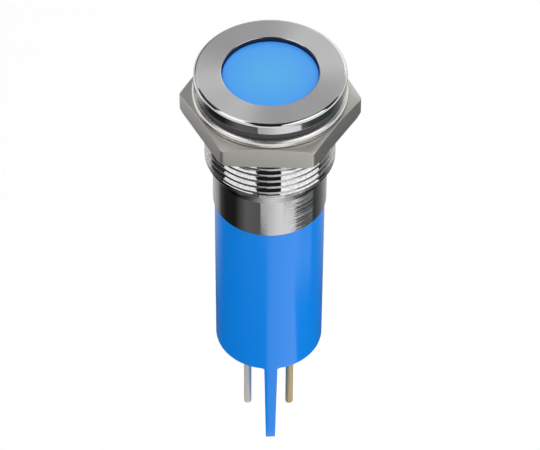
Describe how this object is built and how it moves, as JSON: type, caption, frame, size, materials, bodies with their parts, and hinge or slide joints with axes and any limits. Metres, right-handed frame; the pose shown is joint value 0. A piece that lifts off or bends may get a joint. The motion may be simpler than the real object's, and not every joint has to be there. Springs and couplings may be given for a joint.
{
  "type": "panel pilot light",
  "caption": "Round panel pilot light: metal bezel with a blue lens, threaded barrel with nut, lock washer and gasket, and a moulded rear sleeve with pins on both sides of a barrier fin.",
  "frame": {"origin": "on the barrel's axis, at the back of the bezel flange, where the gasket meets it", "axes": "+Z out of the lens, along the barrel's axis; X through both terminal pins, anode on +X; Y along the barrier fin"},
  "size_m": [0.022, 0.0192, 0.0608],
  "materials": {
    "barrel_metal": "turned and bright plated",
    "nut_nickel": "satin nickel plate on brass",
    "washer_nickel": "satin nickel plate",
    "black_rubber": "matt",
    "lens_blue": "clear moulded, frosted inside",
    "white_plastic": "smooth",
    "lamp_epoxy": "clear cast",
    "tinned_metal": "bright tin plate",
    "gold_plate": "pale gold plate",
    "board_green": "solder mask on glass laminate",
    "resistor_black": "glazed ceramic",
    "diode_glass": "tinted glass",
    "solder": "flowed",
    "black_resin": "cast",
    "sleeve_blue": "glossy moulded"
  },
  "bodies": {
    "light": {"bezel_barrel": "barrel_metal", "lens": "lens_blue", "lens_seal": "black_rubber", "panel_gasket": "black_rubber", "lamp_reflector": "white_plastic", "led_lamp": "lamp_epoxy", "lamp_anode_leg": "tinned_metal", "lamp_cathode_leg": "tinned_metal", "circuit_board": "board_green", "upper_resistor": "resistor_black", "lower_resistor": "resistor_black", "protection_diode": "diode_glass", "lamp_solder": "solder", "terminal_solder": "solder", "anode_terminal": "gold_plate", "cathode_terminal": "tinned_metal", "sealing_resin": "black_resin", "rear_sleeve": "sleeve_blue"},
    "washer": {"lock_washer": "washer_nickel"},
    "nut": {"hex_nut": "nut_nickel"}
  },
  "joints": [
    {"name": "washer_travel", "type": "slide", "parent": "light", "child": "washer", "axis": [0, 0, 1], "range_m": [-0.006, 0]},
    {"name": "nut_turn", "type": "hinge", "parent": "washer", "child": "nut", "pos_m": [0, 0, -0.00365], "axis": [0, 0, 1], "range_deg": [-2160, 0]}
  ],
  "couplings": [
    {"joint": "washer_travel", "follows": "nut_turn", "m_per_rad": 0.00015915}
  ]
}
